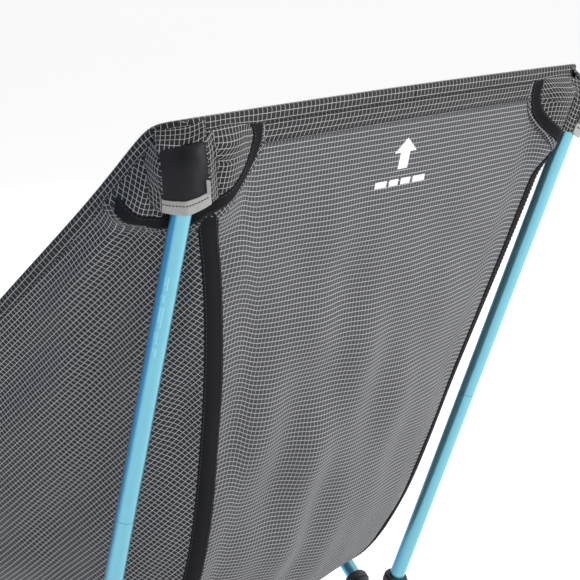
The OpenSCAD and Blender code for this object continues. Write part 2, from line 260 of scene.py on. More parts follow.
def strip(name, grid, material, thickness, uvs=None, side=1.0):
    """Sheet over a grid of points, thickened evenly to both sides. Grids on the right run mirrored."""
    rows, cols = grid.shape[:2]
    obj = new_object(name, grid.reshape(-1, 3), grid_faces(rows, cols, side < 0), material,
                     None if uvs is None else np.asarray(uvs).reshape(-1, 2))
    solid = obj.modifiers.new("thickness", "SOLIDIFY")
    solid.thickness = thickness
    solid.offset = 0
    return obj


def arc_uvs(grid):
    """Lengths along a grid's rows and columns, for a weave that runs with the grid."""
    across = np.concatenate([np.zeros((grid.shape[0], 1)),
                             np.cumsum(np.linalg.norm(np.diff(grid, axis=1), axis=2), axis=1)], axis=1)
    down = np.concatenate([np.zeros((1, grid.shape[1])),
                           np.cumsum(np.linalg.norm(np.diff(grid, axis=0), axis=2), axis=0)], axis=0)
    return np.stack([across, down], axis=2)


def thread(name, stitches, material, radius):
    """One mesh of short thread stitches, each given by its two ends and the cloth's normal there."""
    verts, faces = [], []
    ring = 6
    for p, q, n in stitches:
        along = unit(q - p)
        side = unit(np.cross(along, n))
        up = unit(np.cross(side, along))
        base = len(verts)
        for s, r, lift in ((0, 0.3, 0), (0.15, 1, 0.6), (0.5, 1.1, 1), (0.85, 1, 0.6), (1, 0.3, 0)):
            c = p + (q - p) * s + up * radius * lift
            for k in range(ring):
                t = 2 * math.pi * k / ring
                verts.append(c + (side * math.cos(t) + up * math.sin(t)) * radius * r)
        for s in range(4):
            for k in range(ring):
                a, b = base + s * ring + k, base + s * ring + (k + 1) % ring
                faces.append((a, b, b + ring, a + ring))
        faces.append(tuple(base + k for k in range(ring))[::-1])
        faces.append(tuple(base + 4 * ring + k for k in range(ring)))
    return new_object(name, verts, faces, material)


def stitches_along(points, normals, pitch=3.0 * MM, stitch=2.1 * MM):
    run = lengths(points)
    count = int(run[-1] / pitch)
    out = []
    for k in range(count):
        s = (k + 0.5) * pitch
        ends = [np.array([np.interp(x, run, points[:, i]) for i in range(3)])
                for x in (s - stitch / 2, s + stitch / 2)]
        n = unit(np.array([np.interp(s, run, normals[:, i]) for i in range(3)]))
        out.append((ends[0], ends[1], n))
    return out


# ---- materials
def shader(name):
    mat = bpy.data.materials.new(name)
    mat.use_nodes = True
    tree = mat.node_tree
    return mat, tree, tree.nodes["Principled BSDF"]


def node(tree, kind, **values):
    made = tree.nodes.new(kind)
    for key, value in values.items():
        if key in made.inputs:
            made.inputs[key].default_value = value
        else:
            setattr(made, key, value)
    return made


def math_node(tree, operation, a, b=None, clamp=False):
    made = node(tree, "ShaderNodeMath", operation=operation, use_clamp=clamp)
    for socket, value in zip(made.inputs, (a, b)):
        if value is None:
            continue
        if isinstance(value, (int, float)):
            socket.default_value = value
        else:
            tree.links.new(value, socket)
    return made.outputs[0]


def ramp(tree, factor, stops):
    made = node(tree, "ShaderNodeValToRGB")
    elements = made.color_ramp.elements
    while len(elements) < len(stops):
        elements.new(0.5)
    for element, (place, colour) in zip(elements, stops):
        element.position = place
        element.color = (*colour, 1)
    tree.links.new(factor, made.inputs["Fac"])
    return made.outputs["Color"]


def mix(tree, factor, a, b, blend="MIX"):
    made = node(tree, "ShaderNodeMix", data_type="RGBA", blend_type=blend)
    for socket, value in ((made.inputs[0], factor), (made.inputs[6], a), (made.inputs[7], b)):
        if isinstance(value, tuple):
            socket.default_value = (*value, 1)
        elif isinstance(value, (int, float)):
            socket.default_value = value
        else:
            tree.links.new(value, socket)
    return made.outputs[2]


def bump(tree, bsdf, height, distance, strength=1.0):
    made = node(tree, "ShaderNodeBump", Strength=strength, Distance=distance)
    tree.links.new(height, made.inputs["Height"])
    tree.links.new(made.outputs["Normal"], bsdf.inputs["Normal"])
    return made


def noise(tree, vector, scale, detail=3.0, roughness=0.55):
    made = node(tree, "ShaderNodeTexNoise", Scale=scale, Detail=detail, Roughness=roughness)
    tree.links.new(vector, made.inputs["Vector"])
    return made.outputs["Fac"]


def scaled(tree, value, factor, offset):
    return math_node(tree, "ADD", math_node(tree, "MULTIPLY", value, factor), offset)


def around(base, share):
    """A colour darkened and lightened by a share."""
    return tuple(c * (1 - share) for c in base), tuple(min(1, c * (1 + share)) for c in base)


def weave_axes(tree):
    """The cloth's UV, in metres along it, whole and as separate axes."""
    uv = node(tree, "ShaderNodeUVMap", uv_map="weave")
    axes = node(tree, "ShaderNodeSeparateXYZ")
    tree.links.new(uv.outputs["UV"], axes.inputs["Vector"])
    return uv.outputs["UV"], axes.outputs["X"], axes.outputs["Y"]


def grid_line(tree, coordinate, pitch, width):
    """1 on the threads of a grid of that pitch and width in metres, 0 between, with soft edges."""
    cell = math_node(tree, "FRACT", math_node(tree, "MULTIPLY", coordinate, 1 / pitch))
    away = math_node(tree, "ABSOLUTE", math_node(tree, "SUBTRACT", cell, 0.5))
    half = width / pitch / 2
    fall = node(tree, "ShaderNodeMapRange", interpolation_type="SMOOTHSTEP")
    tree.links.new(away, fall.inputs["Value"])
    fall.inputs["From Min"].default_value = half * 0.6
    fall.inputs["From Max"].default_value = half * 1.5
    fall.inputs["To Min"].default_value = 1
    fall.inputs["To Max"].default_value = 0
    return fall.outputs[0]


FINE_WEAVE, FINE_THREAD = 0.55 * MM, 0.25 * MM


def ripstop(name, base, line, pitch, width, line_share=(1.0, 0.8), rough=0.62, turn=0.0):
    """Plain weave with a raised pale grid. Its UVs are metres along the cloth."""
    mat, tree, bsdf = shader(name)
    uv = node(tree, "ShaderNodeUVMap", uv_map="weave")
    placed = node(tree, "ShaderNodeMapping", Rotation=(0, 0, turn))
    tree.links.new(uv.outputs["UV"], placed.inputs["Vector"])
    axes = node(tree, "ShaderNodeSeparateXYZ")
    tree.links.new(placed.outputs["Vector"], axes.inputs["Vector"])
    wobble = math_node(tree, "MULTIPLY", noise(tree, placed.outputs["Vector"], 90.0), 0.5 * MM)
    u = math_node(tree, "ADD", axes.outputs["X"], wobble)
    v = math_node(tree, "ADD", axes.outputs["Y"], wobble)
    warp = math_node(tree, "MULTIPLY", grid_line(tree, u, pitch[0], width), line_share[1])
    weft = math_node(tree, "MULTIPLY", grid_line(tree, v, pitch[1], width), line_share[0])
    lines = math_node(tree, "MAXIMUM", warp, weft)
    patchy = noise(tree, placed.outputs["Vector"], 9.0, 4.0)
    body = mix(tree, patchy, *around(base, 0.2))
    fray = noise(tree, placed.outputs["Vector"], 1100.0, 2.0)
    ink = math_node(tree, "MULTIPLY", lines, scaled(tree, fray, 0.5, 0.68), clamp=True)
    tree.links.new(mix(tree, ink, body, line), bsdf.inputs["Base Color"])
    tree.links.new(scaled(tree, patchy, 0.12, rough - 0.06), bsdf.inputs["Roughness"])
    fine_u, fine_v = (grid_line(tree, axis, FINE_WEAVE, FINE_THREAD) for axis in (u, v))
    weave = math_node(tree, "MULTIPLY", math_node(tree, "ADD", fine_u, fine_v), 0.25)
    bump(tree, bsdf, math_node(tree, "ADD", lines, weave), 0.12 * MM, 0.7)
    bsdf.inputs["Sheen Weight"].default_value = 0.04
    bsdf.inputs["Specular IOR Level"].default_value = 0.2
    return mat


def woven_tape(name, base, rib, rough=0.8, sheen=0.2, contrast=0.35):
    """Narrow woven tape with ribs across it: U runs across the tape and V along it."""
    mat, tree, bsdf = shader(name)
    uv, across, along = weave_axes(tree)
    ribs = grid_line(tree, along, rib, rib * 0.55)
    cross = grid_line(tree, across, rib * 0.8, rib * 0.4)
    grain = noise(tree, uv, 420.0, 4.0)
    shade = scaled(tree, ribs, 0.45, math_node(tree, "MULTIPLY", grain, 0.55))
    tree.links.new(mix(tree, shade, *around(base, contrast)), bsdf.inputs["Base Color"])
    bsdf.inputs["Roughness"].default_value = rough
    bsdf.inputs["Sheen Weight"].default_value = sheen
    bsdf.inputs["Specular IOR Level"].default_value = 0.15
    height = scaled(tree, math_node(tree, "ADD", cross, grain), 0.4, ribs)
    bump(tree, bsdf, height, 0.15 * MM, 0.8)
    return mat


def coated_fabric(name, base):
    """Smooth tightly woven pocket cloth."""
    mat, tree, bsdf = shader(name)
    uv, across, along = weave_axes(tree)
    fine = math_node(tree, "ADD", *(grid_line(tree, axis, 0.4 * MM, 0.2 * MM) for axis in (across, along)))
    soft = noise(tree, uv, 60.0, 3.0)
    dark, light = tuple(c * 0.8 for c in base), tuple(c * 1.25 for c in base)
    tree.links.new(mix(tree, soft, dark, light), bsdf.inputs["Base Color"])
    tree.links.new(scaled(tree, soft, 0.15, 0.42), bsdf.inputs["Roughness"])
    bump(tree, bsdf, fine, 0.05 * MM, 0.5)
    bsdf.inputs["Specular IOR Level"].default_value = 0.22
    return mat


def anodised(name, base, rough=0.3, metallic=0.9):
    """Drawn tube with fine draw lines, light scuffs and a clear anodised surface."""
    mat, tree, bsdf = shader(name)
    place = node(tree, "ShaderNodeTexCoord")
    stretched = node(tree, "ShaderNodeMapping", Scale=(1, 1, 0.05))
    tree.links.new(place.outputs["Object"], stretched.inputs["Vector"])
    drawn = noise(tree, stretched.outputs["Vector"], 900.0, 3.0)
    scuff = noise(tree, place.outputs["Object"], 55.0, 6.0, 0.7)
    worn = ramp(tree, scuff, [(0.0, (0, 0, 0)), (0.62, (0, 0, 0)), (0.78, (1, 1, 1))])
    tint = mix(tree, scuff, tuple(c * 0.92 for c in base), tuple(min(1, c * 1.06) for c in base))
    tree.links.new(tint, bsdf.inputs["Base Color"])
    rough_value = scaled(tree, drawn, 0.1, math_node(tree, "MULTIPLY", worn, 0.12))
    tree.links.new(math_node(tree, "ADD", rough_value, rough - 0.05), bsdf.inputs["Roughness"])
    bsdf.inputs["Metallic"].default_value = metallic
    bump(tree, bsdf, drawn, 0.02 * MM, 0.35)
    return mat


def moulded(name, base, grain, rough, scale=900.0, depth=0.05 * MM):
    """Moulded plastic or rubber with a fine spark-eroded grain and soft blotches."""
    mat, tree, bsdf = shader(name)
    place = node(tree, "ShaderNodeTexCoord")
    fine = noise(tree, place.outputs["Object"], scale, 4.0, 0.6)
    blotch = noise(tree, place.outputs["Object"], 35.0, 4.0)
    tree.links.new(mix(tree, blotch, *around(base, grain)), bsdf.inputs["Base Color"])
    tree.links.new(scaled(tree, blotch, 0.16, rough - 0.08), bsdf.inputs["Roughness"])
    bump(tree, bsdf, fine, depth, 0.5)
    return mat


def braid(name, base, fleck):
    """Elastic cord's braided cover."""
    mat, tree, bsdf = shader(name)
    place = node(tree, "ShaderNodeTexCoord")
    one = node(tree, "ShaderNodeTexWave", wave_type="BANDS", bands_direction="DIAGONAL", Scale=420.0)
    tree.links.new(place.outputs["Object"], one.inputs["Vector"])
    mirrored = node(tree, "ShaderNodeMapping", Scale=(-1, 1, 1))
    tree.links.new(place.outputs["Object"], mirrored.inputs["Vector"])
    two = node(tree, "ShaderNodeTexWave", wave_type="BANDS", bands_direction="DIAGONAL", Scale=420.0)
    tree.links.new(mirrored.outputs["Vector"], two.inputs["Vector"])
    crossing = math_node(tree, "MULTIPLY", one.outputs["Fac"], two.outputs["Fac"])
    tree.links.new(mix(tree, crossing, fleck, base), bsdf.inputs["Base Color"])
    bsdf.inputs["Roughness"].default_value = 0.75
    bump(tree, bsdf, crossing, 0.2 * MM, 0.7)
    return mat


def plain(name, base, rough, scale=200.0, spread=0.15):
    """Ink, thread and the like: one colour with a fine mottle."""
    mat, tree, bsdf = shader(name)
    place = node(tree, "ShaderNodeTexCoord")
    mottle = noise(tree, place.outputs["Object"], scale, 3.0)
    tree.links.new(mix(tree, mottle, *around(base, spread)), bsdf.inputs["Base Color"])
    bsdf.inputs["Roughness"].default_value = rough
    return mat


WING_GRID, HEM_GRID, BIAS_GRID = 3.1 * MM, 3.6 * MM, 2.7 * MM
LINE_WIDTH = 0.34 * MM
PALE_LINE = (0.5, 0.5, 0.51)
HEM_BASE = (0.014, 0.0143, 0.016)
# The centre cloth's base is paler than the other ripstops': part of that is painted light, standing in for
# light that shines through the thin cloth.
M_CENTRE = ripstop("centre_ripstop", (0.047, 0.0485, 0.0545), (0.44, 0.445, 0.46), (2.7 * MM, 3.3 * MM),
                   0.47 * MM, (0.95, 0.5))
M_WING = ripstop("wing_ripstop", (0.0185, 0.019, 0.022), (0.6, 0.605, 0.62), (WING_GRID, WING_GRID),
                 LINE_WIDTH, (0.8, 0.8))
M_PATCH = ripstop("patch_ripstop", (0.0125, 0.0128, 0.0145), PALE_LINE, (2.7 * MM, 3.4 * MM),
                  LINE_WIDTH, (0.8, 0.8))
M_HEM = ripstop("hem_ripstop", HEM_BASE, PALE_LINE, (HEM_GRID, HEM_GRID), LINE_WIDTH, (0.8, 0.8))
M_SLIVER = ripstop("bias_ripstop", HEM_BASE, (0.42, 0.42, 0.43), (BIAS_GRID, BIAS_GRID), 0.42 * MM,
                   (0.8, 0.8), turn=math.radians(45))
M_POCKET = coated_fabric("pocket_cloth", (0.0075, 0.0073, 0.0095))
M_TAPE = woven_tape("black_tape", (0.0095, 0.0097, 0.0115), 0.9 * MM, rough=0.9, sheen=0.0)
M_MOUTH = woven_tape("grosgrain", (0.345, 0.35, 0.335), 0.75 * MM, contrast=0.22)
M_THREAD = plain("black_thread", (0.012, 0.012, 0.013), 0.7)
M_TAPE_THREAD = plain("tape_thread", (0.03, 0.03, 0.032), 0.7)
M_INK = plain("print_ink", (0.75, 0.76, 0.78), 0.6, 900.0, 0.08)
M_POLE = anodised("blue_anodised", (0.19, 0.49, 0.6))
M_POLE_PRINT = anodised("pole_print", (0.3, 0.68, 0.82), rough=0.5, metallic=0.6)
M_FERRULE = anodised("bare_ferrule", (0.7, 0.71, 0.73), rough=0.28, metallic=1.0)
M_HUB = moulded("hub_nylon", (0.022, 0.023, 0.025), 0.18, 0.52)
M_TIP = moulded("tip_nylon", (0.018, 0.018, 0.02), 0.15, 0.45)
M_FOOT = moulded("foot_rubber", (0.016, 0.016, 0.0165), 0.2, 0.72, 600.0, 0.09 * MM)
M_CORD = braid("shock_cord", (0.62, 0.62, 0.6), (0.1, 0.1, 0.11))


# ---- hard parts: CAD nodes with better finishes
def finish_nodes():
    finishes = {
        "hub": M_HUB, "pole": M_POLE, "ferrule": M_FERRULE,
        "tip": M_TIP, "foot": M_FOOT, "shock_cord": M_CORD,
    }
    for entry in frame["record"]["subparts"]:
        material = finishes.get(entry["material_slot"])
        if material:
            for place in frame["nodes"][entry["node"]].material_slots:
                place.material = material


finish_nodes()

SLING = "sling"
# Thicknesses of the cloths
PANEL_T = 0.45 * MM
DOUBLED_T = 0.35 * MM
FOLDED_T = 0.3 * MM
POCKET_T = 0.4 * MM
GROSGRAIN_T = 0.5 * MM


def attach(obj, slot, *nodes):
    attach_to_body(obj, SLING)
    if nodes:
        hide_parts(*nodes)
    return obj


def sew(name, stitches, material=M_THREAD, radius=0.22 * MM):
    return attach(thread(name, stitches, material, radius), "black_tape")


# ---- panels
def centre_panel():
    a = np.linspace(-1, 1, 121)
    v = np.linspace(0, 1, 300)
    grid = cloth.at(a[None, :], v[:, None])
    uvs = arc_uvs(grid)
    middle = uvs[:, [60], 0:1]
    uvs[..., 0:1] -= middle
    down = uvs[..., 1]
    uvs[..., 1] = 0.5 * down + 0.5 * down[:, [60]]
    obj = strip("centre_cloth", grid, M_CENTRE, PANEL_T, uvs)
    attach(obj, "centre_fabric", "centre_panel")
    return obj


def wing(name, side):
    a = side * np.linspace(1, 2, 81)
    v = np.linspace(0, 1, 260)
    grid = cloth.at(a[None, :], v[:, None])
    edge = grid[:, -1]
    run = lengths(edge)
    # The grain runs along the outer edge, so a point's place on it is its foot on the edge's chord.
    chord = unit(edge[-1] - edge[0])
    rel = grid - edge[0]
    along = rel @ chord
    off = np.linalg.norm(rel - along[..., None] * chord, axis=2)
    uvs = np.stack([off, along * run[-1] / np.linalg.norm(edge[-1] - edge[0])], axis=2)
    obj = strip("wing_cloth_" + name, grid, M_WING, PANEL_T, uvs, side)
    attach(obj, "wing_fabric", "wing_" + name)
    return obj


# ---- hems round the whole sling
def outline():
    """Closed boundary of the sling as (a, v) places, starting in the middle of the top edge."""
    n = 260
    return np.vstack([
        np.stack([np.linspace(0, 2, n), np.zeros(n)], axis=1),
        np.stack([np.full(n, 2.0), np.linspace(0, 1, n)], axis=1)[1:],
        np.stack([np.linspace(2, -2, 2 * n), np.ones(2 * n)], axis=1)[1:],
        np.stack([np.full(n, -2.0), np.linspace(1, 0, n)], axis=1)[1:],
        np.stack([np.linspace(-2, 0, n), np.zeros(n)], axis=1)[1:],
    ])


def loop_frames(step=2.2 * MM):
    """Boundary points with their (a, v), spread evenly round the sling."""
    places = outline()
    points = cloth.at(places[:, 0], places[:, 1])
    run = lengths(points)
    s = np.linspace(0, run[-1], int(run[-1] / step), endpoint=False)
    places = np.stack([np.interp(s, run, places[:, i]) for i in range(2)], axis=1)
    points = cloth.at(places[:, 0], places[:, 1])
    normals = cloth.normal(places[:, 0], places[:, 1])
    for _ in range(6):
        normals = unit(np.roll(normals, 1, 0) + normals + np.roll(normals, -1, 0))
    ahead = unit(np.roll(points, -1, 0) - np.roll(points, 1, 0))
    inward = unit(np.cross(ahead, normals))
    if np.mean(np.einsum("ij,ij->i", inward, cloth.at(0, 0.4) - points)) < 0:
        inward = -inward
    return places, normals, inward, s


def walk_in(places, inward, width, steps=8):
    """Rows of points and normals going in from the boundary across the cloth, evenly over a width."""
    a, v = places[:, 0].copy(), places[:, 1].copy()
    points, normals = [cloth.at(a, v)], [cloth.normal(a, v)]
    e = 1e-3
    for _ in range(steps):
        here = cloth.at(a, v)
        ta = (cloth.at(a + e * np.where(a > 0, -1, 1), v) - here) / e
        tv = (cloth.at(a, v + e * np.where(v < 0.5, 1, -1)) - here) / e
        aa, vv, av = (np.einsum("ij,ij->i", x, y) for x, y in ((ta, ta), (tv, tv), (ta, tv)))
        ia, iv = (np.einsum("ij,ij->i", t, inward) * width / steps for t in (ta, tv))
        det = (aa * vv - av * av) + 0.02 * aa * vv
        da, dv = (ia * vv - iv * av) / det, (iv * aa - ia * av) / det
        a = a + np.where(a > 0, -1, 1) * da
        v = v + np.where(v < 0.5, 1, -1) * dv
        points.append(cloth.at(a, v))
        normals.append(cloth.normal(a, v))
    points, normals = np.array(points), np.array(normals)
    for _ in range(4):
        points = (np.roll(points, 1, 1) + points + np.roll(points, -1, 1)) / 3
        normals = unit(np.roll(normals, 1, 1) + normals + np.roll(normals, -1, 1))
    return points, normals


def edge_hem(width=8.5 * MM):
    """Folded ripstop hem that wraps the edge all round, with its grid square to the edge."""
    places, normals, inward, s = loop_frames()
    points, normals = walk_in(places, inward, width)
    h = 1.3 * MM
    profile = [(8, 0.6), (7, 1.0), (6, 1.08), (4, 1.1), (2, 1.1), (1, 1.05), (0, 0.7)]
    swell = 1 + 0.08 * np.sin(s / (7.5 * MM)) * np.sin(s / (31 * MM))
    rows = [points[k] + normals[k] * (h * lift * swell)[:, None] for k, lift in profile]
    rows.append(points[0] - inward * 0.7 * MM)
    rows += [points[k] - normals[k] * (h * lift * swell)[:, None] for k, lift in profile[::-1]]
    grid = np.stack(rows, axis=1)
    grid = np.concatenate([grid, grid[:1]], axis=0)
    across = lengths(grid[len(grid) // 8])
    along = np.append(s, s[-1] + (s[1] - s[0]))
    uvs = np.stack(np.broadcast_arrays(across[None, :], along[:, None]), axis=2)
    obj = strip("edge_hem", grid, M_HEM, FOLDED_T, uvs)
    attach(obj, "patch_fabric")
    seam = []
    for lift in (h * 1.12, -h * 1.12):
        n = normals[7] * math.copysign(1, lift)
        line = points[7] + n * abs(lift)
        seam += stitches_along(np.vstack([line, line[:1]]), np.vstack([n, n[:1]]))
    sewn = sew("edge_hem_stitches", seam)
    return [obj, sewn]


def band(name, v_from, v_to, a_reach, material, height):
    """Doubled layer of cloth along the top or front edge."""
    a = np.linspace(-a_reach, a_reach, 161)
    v = np.linspace(v_from, v_to, 9)
    lift = height * np.ones((len(v), len(a)))
    lift[0] *= 0.75
    lift[-1] *= 0.75
    grid = cloth.at(a[None, :], v[:, None], lift)
    obj = strip(name, grid, material, FOLDED_T, arc_uvs(grid))
    attach(obj, "patch_fabric")
    seam = []
    for at in (v_from + (v_to - v_from) * 0.06, v_from + (v_to - v_from) * 0.94):
        line = cloth.at(a, at, height + 0.25 * MM)
        seam += stitches_along(line, cloth.normal(a, at))
    sewn = sew(name + "_stitches", seam)
    return [obj, sewn]


# ---- seam tapes
def seam_tape(name, side, corner_v=(0.068, 0.95), half=6.6 * MM):
    v = np.linspace(*corner_v, 150)
    d = np.array([-1, -0.94, -0.6, -0.2, 0.2, 0.6, 0.94, 1]) * half
    height = np.array([0.35, 0.75, 0.85, 0.9, 0.9, 0.85, 0.75, 0.35]) * MM
    a = np.stack([cloth.a_across(side, d, np.full(d.shape, x)) for x in v])
    grid = cloth.at(a, v[:, None], np.broadcast_to(height, a.shape))
    obj = strip("seam_tape_cloth_" + name, grid, M_TAPE, DOUBLED_T, arc_uvs(grid), side)
    attach(obj, "black_tape", "seam_tape_" + name)
    seam = []
    for k in (-0.8, 0.8):
        line_a = cloth.a_across(side, np.full(v.shape, half * k), v)
        seam += stitches_along(cloth.at(line_a, v, 1.0 * MM), cloth.normal(line_a, v))
    sewn = sew("seam_stitches_" + name, seam, M_TAPE_THREAD)
    return [obj, sewn]


# ---- corners
# Radius of the moulded tip inside a pocket
TIP_R = 6.4 * MM


class Corner:
    """One corner of the sling, worked out on the sitter's left and mirrored for the right.

    Its own frame lies along the pole: x is across it towards the middle of the chair, s is the distance
    from the pole's tip towards the hub, and h is the height from the pole's axis away from the sitter.
    """

    def __init__(self, end, side):
        self.name = f"{end}_{'left' if side > 0 else 'right'}"
        self.side = side
        self.back = end == "back"
        self.rim = np.array([[1, 0.125], [0, 0.075], [-0.272, 0]] if self.back
                            else [[1, 0.2], [0, 0.052], [-0.26, 0]])
        self.tip = BACK_TIP if self.back else ARM_TIP
        self.along = unit(self.tip - HUB)
        v = 0.04 if self.back else 0.965
        mirror = np.array([side, 1, 1])
        self.face(np.mean([cloth.normal(side * a, v) * mirror for a in (0.94, 1.0, 1.06, 1.2)], axis=0))
        for _ in range(4):
            a, v = self.place(np.array([-13, 13]) * MM, np.array([20, 20]) * MM)
            chord = np.diff(cloth.at(a, v) * mirror, axis=0)[0]
            out = np.cross(self.along, chord)
            self.face(out * math.copysign(1, out @ self.out))
        # Pocket corners in (x, s): closed end and mouth, on the outer and the inner side
        if self.back:
            closed, mouth = [[-19.1, 3.6], [5.8, -4.5]], [[-12.0, 38.3], [14.6, 31.4]]
        else:
            closed, mouth = [[-14, -1.5], [14, -1.5]], [[-14, 38], [14, 38]]
        self.closed, self.mouth = np.array(closed) * MM, np.array(mouth) * MM

    def face(self, out):
        """Turns the corner's frame about the pole so that its heights run along a given direction."""
        self.out = unit(out - self.along * (out @ self.along))
        self.across = np.cross(self.along, self.out)
        self.across = self.across * (1 if self.across[0] < 0 else -1)

    def local(self, points):
        rel = points - self.tip
        return rel @ self.across, -(rel @ self.along), rel @ self.out

    def world(self, x, s, h):
        """Points on the corner's own side of the chair from its frame."""
        p = (self.tip + np.asarray(x)[..., None] * self.across - np.asarray(s)[..., None] * self.along
             + np.asarray(h)[..., None] * self.out)
        return p * np.array([self.side, 1, 1])

    def place(self, x, s):
        """(a, v) of the cloth under a place in the corner's frame, found by a few Newton steps."""
        x, s = np.broadcast_arrays(np.asarray(x, float), np.asarray(s, float))
        q = np.full(x.shape, 1.0)
        v = np.full(x.shape, 0.05 if self.back else 0.95)
        mirror = np.array([self.side, 1, 1])
        step = 1e-3
        for _ in range(14):
            here, across, down = (self.local(cloth.at(self.side * a, b) * mirror)[:2]
                                  for a, b in ((q, v), (q + step, v), (q, v + step)))
            ax, as_ = ((across[i] - here[i]) / step for i in (0, 1))
            dx, ds = ((down[i] - here[i]) / step for i in (0, 1))
            ex, es = x - here[0], s - here[1]
            det = ax * ds - dx * as_
            det = np.where(np.abs(det) < 1e-9, 1e-9, det)
            q = np.clip(q + np.clip((ex * ds - dx * es) / det, -0.2, 0.2), 0.3, 1.99)
            v = np.clip(v + np.clip((ax * es - ex * as_) / det, -0.04, 0.04), 0.001, 0.999)
        return q * self.side, v

    def height_of_cloth(self, x, s):
        a, v = self.place(x, s)
        return self.local(cloth.at(a, v) * np.array([self.side, 1, 1]))[2]

    def v(self, q):
        return np.clip(q, 0, 1) if self.back else 1 - np.clip(q, 0, 1)

    def rim_places(self, r, t):
        """(a, v) at fractions r of the way from the corner to the patch's rim, t along the rim."""
        rim = (self.rim[0] * ((2 * t - 1) * (t - 1))[..., None] + self.rim[1] * (4 * t * (1 - t))[..., None]
               + self.rim[2] * (t * (2 * t - 1))[..., None])
        p = np.array([1.0, 0.0]) * (1 - r[..., None]) + rim * r[..., None]
        return (1 + p[..., 0]) * self.side, self.v(np.maximum(0, p[..., 1]))

    def ring(self, distances, t, heights):
        """Rows of points at distances inside the patch's rim, with a height for each row."""
        a, v = self.rim_places(np.ones(t.shape), t)
        near_a, near_v = self.rim_places(np.full(t.shape, 0.9), t)
        tenth = np.linalg.norm(cloth.at(a, v) - cloth.at(near_a, near_v), axis=1)
        r = 1 - 0.1 * np.asarray(distances)[:, None] / tenth[None, :]
        a, v = self.rim_places(r, np.broadcast_to(t, r.shape))
        heights = np.asarray(heights)
        if heights.ndim == 1:
            heights = np.broadcast_to(heights[:, None], a.shape)
        return cloth.at(a, v, heights), a, v

    def local_uvs(self, grid):
        """Lengths along the cloth, across the pole and along it, for cloth that lies on the panels."""
        x, s = self.local(grid * np.array([self.side, 1, 1]))[:2]
        if not hasattr(self, "spread"):
            step = 1.5 * MM
            xs, ss = np.arange(-90, 110, 1.5) * MM, np.arange(-30, 140, 1.5) * MM
            h = self.height_of_cloth(*np.meshgrid(xs, ss, indexing="ij"))
            slopes = (np.clip(np.gradient(h, step, axis=i), -1.2, 1.2) for i in (0, 1))
            across, down = (np.cumsum(np.sqrt(1 + slope ** 2), axis=i) * step
                            for i, slope in enumerate(slopes))
            self.spread = xs, ss, across, down
        xs, ss, across, down = self.spread
        i = np.clip(np.interp(x, xs, np.arange(len(xs))), 0, len(xs) - 1.001)
        j = np.clip(np.interp(s, ss, np.arange(len(ss))), 0, len(ss) - 1.001)
        i0, j0 = i.astype(int), j.astype(int)
        p, q = i - i0, j - j0
        near, far = ([w[i0, k] * (1 - p) + w[i0 + 1, k] * p for w in (across, down)] for k in (j0, j0 + 1))
        return np.stack([a * (1 - q) + b * q for a, b in zip(near, far)], axis=2)

    def outward(self, grid):
        """Normals of a grid in this corner, away from the sitter."""
        normals = grid_normals(grid)
        return normals * np.where(normals @ (self.out * np.array([self.side, 1, 1])) < 0, -1, 1)[..., None]

    def flip(self):
        """Sign that keeps a fan's faces outward."""
        return self.side * (1 if self.back else -1)

    def pole_height(self, x, s, clearance=0.9 * MM):
        """Height of the pole's far side, with its domed tip, or far below where there's no pole."""
        r = TIP_R + clearance
        d2 = x ** 2 + np.minimum(0, s - TIP_R) ** 2
        return np.where(d2 < r * r, np.sqrt(np.maximum(r * r - d2, 0)), -1.0)

    def pocket_grid(self, rows=44, cols=40):
        """Taut pocket cloth: fixed at its sides and closed end, free at its mouth, lying over the pole."""
        if hasattr(self, "pocket"):
            return self.pocket
        t, u = np.meshgrid(np.linspace(0, 1, rows), np.linspace(0, 1, cols), indexing="ij")
        outer = self.closed[0] + (self.mouth[0] - self.closed[0]) * t[..., None]
        inner = self.closed[1] + (self.mouth[1] - self.closed[1]) * t[..., None]
        place = outer + (inner - outer) * u[..., None]
        # The mouth bows a little towards the hub between its ends.
        place[..., 1] += 1.6 * MM * t ** 3 * np.sin(math.pi * u)
        x, s = place[..., 0], place[..., 1]
        closed_h, mouth_rise = -1.5, 5.3
        h = (closed_h + mouth_rise * smooth_step(t / 0.45)) * MM
        floor = self.pole_height(x, s, 1.5 * MM)
        for _ in range(900):
            h[1:-1, 1:-1] = (h[:-2, 1:-1] + h[2:, 1:-1] + h[1:-1, :-2] + h[1:-1, 2:]) / 4
            h[-1, 1:-1] = (h[-2, 1:-1] * 2 + h[-1, :-2] + h[-1, 2:]) / 4
            h = np.maximum(h, floor)
        for _ in range(16):
            h[:, 1:-1] = (h[:, :-2] + 2 * h[:, 1:-1] + h[:, 2:]) / 4
        outward = np.abs(2 * u - 1)
        slack = np.sin(math.pi * np.clip(u, 0, 1)) * smooth_step(t / 0.2)
        at_mouth = smooth_step((0.5 - u) / 0.3) * smooth_step((t - 0.45) / 0.3)
        folds = 0.55 * np.sin(x / (3.1 * MM) + s / (6.5 * MM)) * at_mouth
        folds = folds + 0.35 * np.sin(u * 17 - t * 7) * smooth_step(t / 0.3) * (1 - outward)
        h = h + (1.3 + folds) * slack * MM
        self.pocket = x, s, h
        return self.pocket


def patch(corner):
    t = np.linspace(0, 1, 64)
    r, tt = np.meshgrid(np.linspace(0.02, 0.985, 56), t, indexing="ij")
    a, v = corner.rim_places(r, tt)
    grid = cloth.at(a, v, np.full(a.shape, 0.75 * MM))
    obj = strip("patch_cloth_" + corner.name, grid, M_PATCH, DOUBLED_T, corner.local_uvs(grid),
                -corner.flip())
    end, side = corner.name.split("_")
    return attach(obj, "patch_fabric", f"{end}_patch_{side}")


